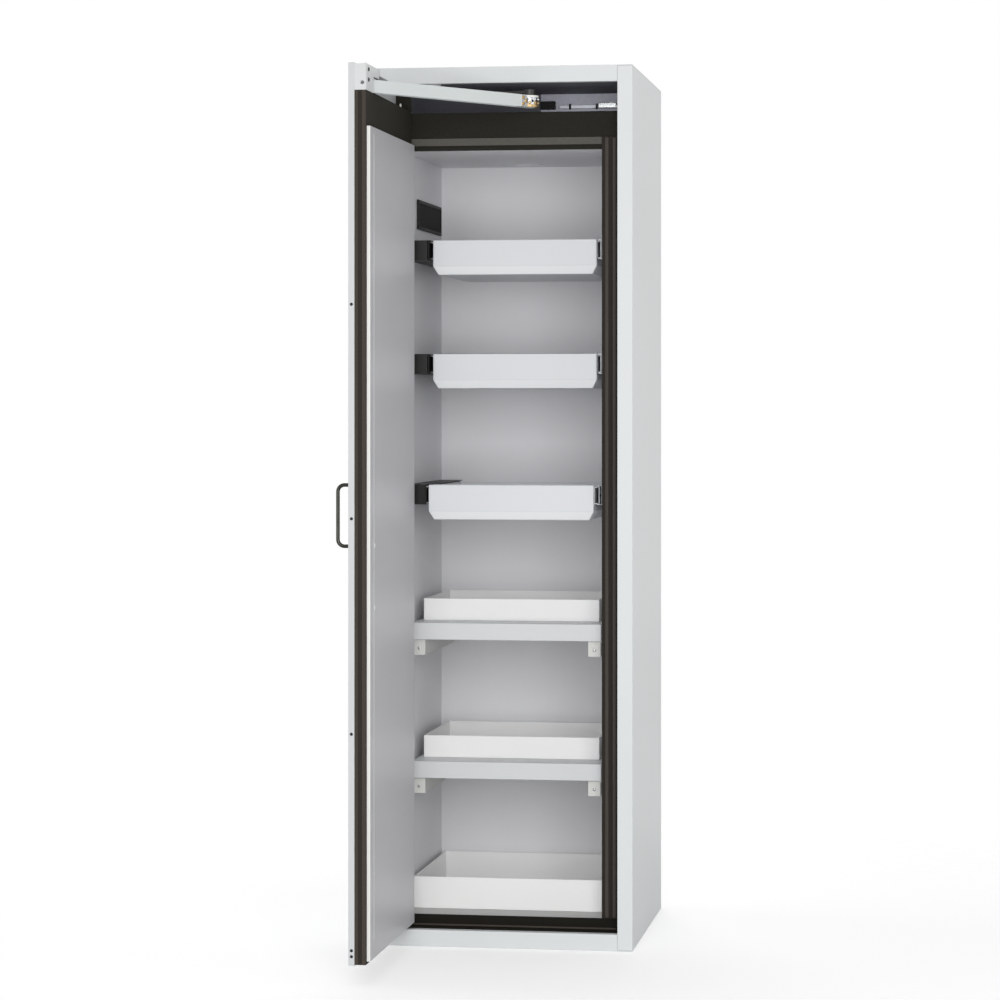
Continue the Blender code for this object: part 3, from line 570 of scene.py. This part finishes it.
drawer_coat = powder_coat("drawer_powder_coat", "D9DBDE", "E2E4E6", 0.36)
# a lighter copy of the drawer coat: a painted highlight on the fronts' lower slope
lip_painted_highlight = powder_coat("drawer_lip_painted_highlight", "EEF0F2", "F6F7F8", 0.34)
black_coat_and_painted_shade = powder_coat("black_runner_coat_and_painted_shade", "151514", "20201E", 0.45)
black_coat_and_painted_shade.node_tree.nodes["Principled BSDF"].inputs["Specular IOR Level"].default_value = 0.3
runner_steel = zinc_sheet("bright_runner_steel", "7C7E82", "A6A8AB", 0.34, 300)
# the punched slots are thin dark films laid on the web: painted shade for the holes
slot_painted_shade = fire_board("runner_slot_painted_shade", "100F0E", "1C1B19", 0.5, 300)
slot_thickness, slot_sink, first_slot, slot_step = 0.0002, 0.0001, 0.024, 0.046
for number in (1, 2, 3):
    name = "drawer_" + str(number)
    follower = "runner_middle_" + str(number)
    # on the left, the middle member also takes the black coat over its bright steel: painted shade along
    # the left wall
    for side, outward, finish in (("left", -1, black_coat_and_painted_shade), ("right", 1, runner_steel)):
        softened(name + "_runner_outer_" + side, "cabinet", finish, radius=0.0004)
        softened(name + "_runner_middle_" + side, follower, finish, radius=0.0004)
        low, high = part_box(name + "_runner_middle_" + side)
        web = high.x if side == "right" else low.x
        grow(name + "_runner_slots_" + side, slot_tree, follower, {
            "Count": 9, "Length": 0.022, "Width": 0.0065, "Thickness": slot_thickness,
            "First slot": (web - outward * slot_sink, low.y + first_slot, (low.z + high.z) / 2),
            "Step": (0, slot_step, 0), "Material": slot_painted_shade,
        })
    front = softened(name + "_front", name, drawer_coat, radius=0.0022, segments=3, angle=12)
    # the front's lower slope looks down and forward; its coat is painted lighter than the face, a painted
    # highlight for the light that the floor throws back
    face_with(front, lip_painted_highlight, lambda middle, normal: normal.z < -0.25 and normal.y < -0.5)
    softened(name + "_tray", name, drawer_coat, radius=0.0004)

# Shelves on their rails
# Two loose shelves of folded sheet steel, turned down on four sides, lie on folded rails that are
# screwed to the side walls. Both are powder coated light grey.

shelf_coat = powder_coat("shelf_powder_coat", "D8DADC", "E2E4E5", 0.40)
rail_coat = powder_coat("off_white_rail_coat", "DADAD6", "E4E4E0", 0.42)
screw_inward, screw_height = 0.0055, 0.015
for level in ("upper", "lower"):
    softened("shelf_" + level, "cabinet", shelf_coat, radius=0.0014, segments=3)
    for side, inward in (("left", 1), ("right", -1)):
        rail = "shelf_rail_" + level + "_" + side
        softened(rail, "cabinet", rail_coat, radius=0.0006)
        low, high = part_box(rail)
        screw_x = (low.x + high.x) / 2 + inward * screw_inward
        rivets(
            rail + "_screw", "cabinet", zinc_small, [(screw_x, low.y, low.z + screw_height)], (0, -1, 0),
            radius=0.0036, height=0.0018,
        )

# Plastic trays
# White polypropylene trays, welded from sheet, stand loose on the shelves, and a larger one on the
# floor is the sump. The plastic is slightly translucent with a soft gloss.


def polypropylene(name, hex_colour):
    """Polypropylene: light goes a little way in, and the surface has a soft, uneven gloss."""
    material, tree, shader, place = new_material(name, hex_colour, 0.35, 0, 1.49)
    shader.inputs["Subsurface Weight"].default_value = 0.08
    shader.inputs["Subsurface Radius"].default_value = (0.006, 0.006, 0.006)
    shader.inputs["Subsurface Scale"].default_value = 1
    # ripples of 40 mm, as a sheet keeps from its rolls
    ripple = add_node(tree, "ShaderNodeTexNoise", {"Scale": 25, "Detail": 2}, Vector=place)
    relief(tree, shader, ripple.outputs["Fac"], 0.06, 0.001)
    roughen(tree, shader, ripple.outputs["Fac"], 0.28, 0.42)
    return material


white_plastic = polypropylene("white_polypropylene", "FDFDFC")
for tray in ("tray_upper", "tray_lower", "sump_tray"):
    softened(tray, tray, white_plastic, radius=0.0013, segments=3)

# Door
# The wing door is a pan of powder-coated sheet steel, filled with dark fire board, with a grey
# melamine panel, banded white, on its inside and a channel across its top in which the closer's arm
# lies. Black screws in the free edge hold the pan, and pale caps cover the handle's fixings.

door_coat = powder_coat("door_powder_coat", "CED0D1", "D7D9DA", 0.42)
door_board = fire_board("door_core_board", "3F3933", "4E4740", 0.7, 180)
door_face = melamine("grey_melamine_door_panel", "C2C2C5", "CDCDD0", 0.40)
edge_band = melamine("white_edge_band", "EEEEEA", "F6F6F3", 0.38)
channel_coat = powder_coat("pale_channel_coat", "D3D5D6", "E0E2E2", 0.40)
softened("door_skin", "door", door_coat, radius=0.0007)
core = softened("door_core", "door", door_board, radius=0.0008)
face_with(core, dark_board_and_painted_shade, lambda middle, normal: abs(normal.y) < 0.5)
softened("door_edge_strip", "door", seal_strip, radius=0.0003)
inner_panel = softened("door_inner_panel", "door", door_face, radius=0.0010, segments=3)
face_with(inner_panel, edge_band, lambda middle, normal: normal.y < -0.5)
channel_low, channel_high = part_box("door_top_channel")
channel = softened("door_top_channel", "door", channel_coat, radius=0.0004)
free_end = 0.0008  # the channel's end at the door's free edge with its rounding
# past its pale end, the channel's faces take the dark board: painted shade inside the channel
face_with(channel, dark_board_and_painted_shade, lambda middle, normal: middle.y > channel_low.y + free_end)
inner_plane, shoe_start, shoe_foot = channel_high.x, channel_low.y, channel_low.z
shoe_gap, shoe_thickness = 0.0001, 0.0012
# the stepped plate over the arm's end: its corners inward from the free edge, and up
shoe_outline = [
    (0, 0), (0.0785, 0), (0.0785, 0.0345), (0.1365, 0.0345), (0.1365, 0.0498), (0.1308, 0.0555),
    (0, 0.0555),
]
form = bmesh.new()
corners = [
    form.verts.new((inner_plane + shoe_gap, shoe_start + y, shoe_foot + z)) for y, z in shoe_outline
]
face = form.faces.new(corners)
grown = bmesh.ops.extrude_face_region(form, geom=[face])["geom"]
raised = [item for item in grown if isinstance(item, bmesh.types.BMVert)]
bmesh.ops.translate(form, verts=raised, vec=(shoe_thickness, 0, 0))
bmesh.ops.recalc_face_normals(form, faces=form.faces)
shoe = add_piece("shoe_plate", form, channel_coat)
round_edges(shoe, radius=0.0004)
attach(shoe, "door")

panel_low, panel_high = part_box("door_inner_panel")
field_margin, top_margin, field_sink, field_proud = 0.039, 0.014, 0.0010, 0.0008
boxed(
    "door_panel_field", "door", door_face,
    (panel_high.x - field_sink, panel_low.y + field_margin, panel_low.z + field_margin),
    (panel_high.x + field_proud, panel_high.y - field_margin, panel_high.z - top_margin),
    radius=0.0008, segments=3,
)
skin_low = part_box("door_skin")[0]
edge_screw_x, edge_screw_heights = skin_low.x + 0.0068, (1.412, 0.967, 0.520, 0.0710, 0.0585)
edge_screws = [(edge_screw_x, skin_low.y, z) for z in edge_screw_heights]
rivets("door_edge_screws", "door", black_coat_and_painted_shade, edge_screws, (0, -1, 0), radius=0.0034, height=0.0010)
cap_y, cap_heights = panel_low.y + 0.045, (0.9095, 0.780)
caps = [(panel_high.x + field_proud, cap_y, z) for z in cap_heights]
rivets(
    "door_panel_caps", "door", channel_coat, caps, (1, 0, 0), radius=0.0058, height=0.0018, hole_share=0,
)
shoe_screw_y, shoe_screw_heights = shoe_start + 0.022, (1.9015, 1.8800)
shoe_screws = [(inner_plane + shoe_gap + shoe_thickness, shoe_screw_y, z) for z in shoe_screw_heights]
rivets(
    "shoe_screws", "door", black_plastic_and_painted_shade, shoe_screws, (1, 0, 0),
    radius=0.0046, height=0.0024, hole_share=0.4,
)
clip_sink, clip_proud, clip_front, clip_back = 0.0010, 0.0012, -0.4085, -0.3985
clip_foot, clip_head = 1.8575, 1.8640
boxed(
    "channel_clip", "door", white_nylon, (inner_plane - clip_sink, clip_front, clip_foot),
    (inner_plane + clip_proud, clip_back, clip_head), radius=0.0006,
)

# Handle
# A bow of 8 mm steel rod, bent twice and plated dark chrome, is screwed through the door from
# behind, so that nothing shows at its feet.

bow_tree, sizes = new_shape_tree("bow handle", {
    "Foot": VECTOR, "Corner": VECTOR, "Far corner": VECTOR, "Far foot": VECTOR, "Bend radius": FLOAT,
    "Rod radius": FLOAT, "Material": MATERIAL,
})
corners = add_node(
    bow_tree, "GeometryNodeCurvePrimitiveQuadrilateral", {"mode": "POINTS"}, Point_1=sizes["Foot"],
    Point_2=sizes["Corner"], Point_3=sizes["Far corner"], Point_4=sizes["Far foot"],
)
opened = add_node(
    bow_tree, "GeometryNodeSetSplineCyclic", {"Cyclic": False}, Geometry=corners.outputs["Curve"],
)
bent = add_node(
    bow_tree, "GeometryNodeFilletCurve", {"mode": "POLY", "Count": 10}, Curve=opened.outputs["Geometry"],
    Radius=sizes["Bend radius"],
)
section = add_node(
    bow_tree, "GeometryNodeCurvePrimitiveCircle", {"mode": "RADIUS", "Resolution": 20},
    Radius=sizes["Rod radius"],
)
rod = add_node(
    bow_tree, "GeometryNodeCurveToMesh", {"Fill Caps": True}, Curve=bent.outputs["Curve"],
    Profile_Curve=section.outputs["Curve"],
)
shaded = add_node(bow_tree, "GeometryNodeSetShadeSmooth", Geometry=rod.outputs["Mesh"])
finish_tree(bow_tree, shaded.outputs["Geometry"], sizes["Material"])

# dark chrome over polished steel: nearly black, a clear mirror with a breath of haze
dark_chrome, tree, shader, place = new_material("dark_chrome_plating", "3A3A36", 0.2, 1)
haze = add_node(tree, "ShaderNodeTexNoise", {"Scale": 60, "Detail": 3}, Vector=place)
tint(tree, shader, haze.outputs["Fac"], "31312E", "45453F")
roughen(tree, shader, haze.outputs["Fac"], 0.14, 0.26)
handle_low, handle_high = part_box("door_handle")
rod_radius = (handle_high.y - handle_low.y) / 2
rod_y = (handle_low.y + handle_high.y) / 2
handle = grow("bow_handle", bow_tree, "door", {
    "Foot": (handle_high.x, rod_y, handle_low.z + rod_radius),
    "Corner": (handle_low.x + rod_radius, rod_y, handle_low.z + rod_radius),
    "Far corner": (handle_low.x + rod_radius, rod_y, handle_high.z - rod_radius),
    "Far foot": (handle_high.x, rod_y, handle_high.z - rod_radius),
    "Bend radius": 0.014, "Rod radius": rod_radius, "Material": dark_chrome,
})
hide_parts("door_handle")

# Lock
# A turned lock cylinder, nickel plated, lies almost flush in the door below the handle. The slot
# milled for the key shows dark in its face.

# satin nickel over turned brass: warm grey, its gloss broken by turning marks of 2 mm
satin_nickel, tree, shader, place = new_material("satin_nickel_plating", "A8A49C", 0.32, 1)
turning = add_node(tree, "ShaderNodeTexNoise", {"Scale": 500, "Detail": 2}, Vector=place)
tint(tree, shader, turning.outputs["Fac"], "98948C", "B4B0A8")
roughen(tree, shader, turning.outputs["Fac"], 0.26, 0.38)
lock = softened("lock_cylinder", "lock", satin_nickel, radius=0.0001)
lock_low, lock_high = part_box("lock_cylinder")
lock_middle = (lock_low + lock_high) / 2
slot_reach, slot_start = 0.0085, lock_low.x + 0.0002
# the key slot's faces take the black plastic: painted shade in the slot
face_with(
    lock, black_plastic_and_painted_shade,
    lambda middle, normal: middle.x > slot_start and (middle - lock_middle).length < slot_reach,
)

# Hinge pins
# Two plain pins, turned from steel and zinc plated, carry the door: one is pressed into the
# frame's top and one into its bottom, and each stands in a blind hole of the door.

for pin in ("pivot_pin_top", "pivot_pin_bottom"):
    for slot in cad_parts[pin].material_slots:
        slot.material = zinc_small

# Door closer
# A channel arm, pale coated, turns on a stud in the door's top channel, and a lever drawn black, as
# painted shade in the dark recess, joins its far end to a fixed spindle. The elbow is a zinc-plated
# hub with a ring of socket screws between a sintered bronze bush and a white nylon washer.


def turned(name, body, material, centre, radius, low, high):
    """A turned part on an upright axis."""
    form = bmesh.new()
    bmesh.ops.create_cone(
        form, cap_ends=True, segments=32, radius1=radius, radius2=radius, depth=high - low,
    )
    bmesh.ops.translate(form, vec=(centre[0], centre[1], (low + high) / 2), verts=form.verts)
    piece = add_piece(name, form, material)
    round_edges(piece, radius=0.0005, angle=35)
    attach(piece, body)


arm_coat = powder_coat("pale_arm_coat", "D0D6D5", "E0E5E4", 0.36)
# the lever is drawn near black: painted shade of the dark recess in which it lies
lever_painted_shade = powder_coat("lever_black_painted_shade", "1A1A18", "272724", 0.4)
# sintered bronze: matt and oily, with dark pores drawn at 1.5 mm to show
bronze, tree, shader, place = new_material("sintered_bronze", "B89A68", 0.45, 1)
pores = add_node(tree, "ShaderNodeTexNoise", {"Scale": 700, "Detail": 2}, Vector=place)
tint(tree, shader, pores.outputs["Fac"], "8C7048", "D2B988")
relief(tree, shader, pores.outputs["Fac"], 0.2, 0.0002)
softened("closer_arm", "closer_arm", arm_coat, radius=0.0006)
softened("closer_lever", "closer_lever", lever_painted_shade, radius=0.0005)
arm_low, arm_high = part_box("closer_arm")
# the elbow seen from above, the way in which the arm points to it, and the arm's front side
elbow = (0.0728617, -0.3199719)
arm_way = Vector((0.59240, 0.80564, 0))
arm_side = Vector((0.80564, -0.59240, 0))
sleeve_length, sleeve_half, sleeve_foot = 0.036, 0.0102, arm_low.z + 0.0004
form = bmesh.new()
bmesh.ops.create_cube(form, size=1)
for corner in form.verts:
    along = -arm_way * sleeve_length * (corner.co.x + 0.5)
    across = arm_side * sleeve_half * 2 * corner.co.y
    height = sleeve_foot + (arm_high.z - sleeve_foot) * (corner.co.z + 0.5)
    corner.co = Vector((elbow[0], elbow[1], height)) + along + across
bmesh.ops.recalc_face_normals(form, faces=form.faces)
sleeve = add_piece("elbow_sleeve", form, zinc_small)
round_edges(sleeve, radius=0.0008, segments=3)
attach(sleeve, "closer_arm")
sleeve_screws = [
    Vector((elbow[0], elbow[1], arm_low.z + height)) - arm_way * along + arm_side * sleeve_half
    for along, height in ((0.0295, 0.0065), (0.0295, 0.0205), (0.0215, 0.0135))
]
rivets(
    "elbow_sleeve_screws", "closer_arm", bronze, sleeve_screws, tuple(arm_side),
    radius=0.0042, height=0.0024, hole_share=0.55,
)
hub_radius, hub_screws = 0.0190, 9
foot, top = arm_low.z, arm_high.z
for name, material, radius, low, high in (
    ("elbow_bush", bronze, hub_radius + 0.0012, foot + 0.0005, foot + 0.0062),
    ("elbow_hub", zinc_small, hub_radius, foot + 0.0058, top - 0.0050),
    ("elbow_washer", white_nylon, hub_radius + 0.0014, top - 0.0054, top - 0.0008),
):
    turned(name, "closer_arm", material, elbow, radius, low, high)
for name, material, height, shift, radius, head_height, hole_share in (
    ("elbow_screws_low", bronze, 0.0098, 0, 0.0037, 0.0026, 0.55),
    ("elbow_screws_high", zinc_small, 0.0178, 0, 0.0037, 0.0026, 0.62),
    ("elbow_pins", black_plastic_and_painted_shade, 0.0138, 0.5, 0.0030, 0.0014, 0),
):
    places, ways = ring_of(hub_screws, elbow, hub_radius, foot + height, shift)
    rivets(name, "closer_arm", material, places, ways, radius, head_height, hole_share)

# Studio, light and camera
# A plain white studio: a floor that fades into the white behind it, a large soft light in front,
# weaker ones on the other sides and a gentle fill from all round. The camera stands 7 m off at
# chest height, a little to the right.

floor_radius, floor_drop, fade_start, fade_end, floor_glow = 2.4, 0.0005, 0.9, 2.2, 0.34
white, tree, shader, place = new_material("studio_floor", "F2F2F2", 0.9)
radius = add_node(tree, "ShaderNodeVectorMath", {"operation": "LENGTH"}, in_0=place)
fade = add_node(
    tree, "ShaderNodeMapRange",
    {"From Min": fade_start, "From Max": fade_end, "interpolation_type": "SMOOTHSTEP"},
    Value=radius.outputs["Value"],
)
path = add_node(tree, "ShaderNodeLightPath")
glow = add_node(
    tree, "ShaderNodeMath", {"operation": "MULTIPLY", "in_1": floor_glow},
    in_0=path.outputs["Is Camera Ray"],
)
shader.inputs["Emission Color"].default_value = (1, 1, 1, 1)
tree.links.new(glow.outputs["Value"], shader.inputs["Emission Strength"])
clear = add_node(tree, "ShaderNodeBsdfTransparent")
mixed = add_node(
    tree, "ShaderNodeMixShader",
    in_0=fade.outputs["Result"], in_1=shader.outputs["BSDF"], in_2=clear.outputs["BSDF"],
)
tree.links.new(mixed.outputs["Shader"], tree.nodes["Material Output"].inputs["Surface"])
form = bmesh.new()
bmesh.ops.create_circle(form, cap_ends=True, segments=64, radius=floor_radius)
bmesh.ops.translate(form, verts=form.verts, vec=(0, 0, -floor_drop))
floor = add_piece("studio_floor", form, white)

world = bpy.data.worlds.new("studio")
bpy.context.scene.world = world
world.use_nodes = True
tree = world.node_tree
fill = tree.nodes["Background"]
fill.inputs["Color"].default_value = (1, 1, 1, 1)
fill.inputs["Strength"].default_value = 0.45
seen = add_node(tree, "ShaderNodeBackground", {"Strength": 1, "Color": (1, 1, 1, 1)})
path = add_node(tree, "ShaderNodeLightPath")
# the camera, mirrors and clear parts see white, and everything else gets the fill
either = add_node(
    tree, "ShaderNodeMath", {"operation": "MAXIMUM"},
    in_0=path.outputs["Is Camera Ray"], in_1=path.outputs["Is Glossy Ray"],
)
also = add_node(
    tree, "ShaderNodeMath", {"operation": "MAXIMUM"},
    in_0=either.outputs["Value"], in_1=path.outputs["Is Transmission Ray"],
)
choice = add_node(
    tree, "ShaderNodeMixShader",
    in_0=also.outputs["Value"], in_1=fill.outputs["Background"], in_2=seen.outputs["Background"],
)
tree.links.new(choice.outputs["Shader"], tree.nodes["World Output"].inputs["Surface"])

softbox_width, softbox_height, aim_point = 3.0, 2.6, Vector((0, -0.1, 1.0))
for name, stand, watts in (
    ("front_softbox", (0.9, -5.2, 1.4), 120), ("side_softbox", (4.6, -2.1, 1.5), 26),
    ("left_softbox", (-5.0, 0.4, 1.6), 50), ("back_softbox", (-0.8, 5.0, 1.6), 70),
):
    softbox = bpy.data.lights.new(name, "AREA")
    softbox.shape = "RECTANGLE"
    softbox.size = softbox_width
    softbox.size_y = softbox_height
    softbox.energy = watts
    lamp = bpy.data.objects.new(name, softbox)
    collection.objects.link(lamp)
    lamp.location = stand
    lamp.rotation_euler = (aim_point - lamp.location).to_track_quat("-Z", "Y").to_euler()

camera_data = bpy.data.cameras.new("camera")
camera_data.sensor_width = 36
camera_data.lens = 114.44
camera_data.shift_y = -0.0945
camera_data.clip_end = 60
camera = bpy.data.objects.new("camera", camera_data)
collection.objects.link(camera)
camera.location = (1.082, -7.2655, 1.202)
camera.rotation_euler = (math.radians(90), 0, math.radians(8.798))
bpy.context.scene.camera = camera
bpy.context.scene.view_settings.view_transform = "Standard"
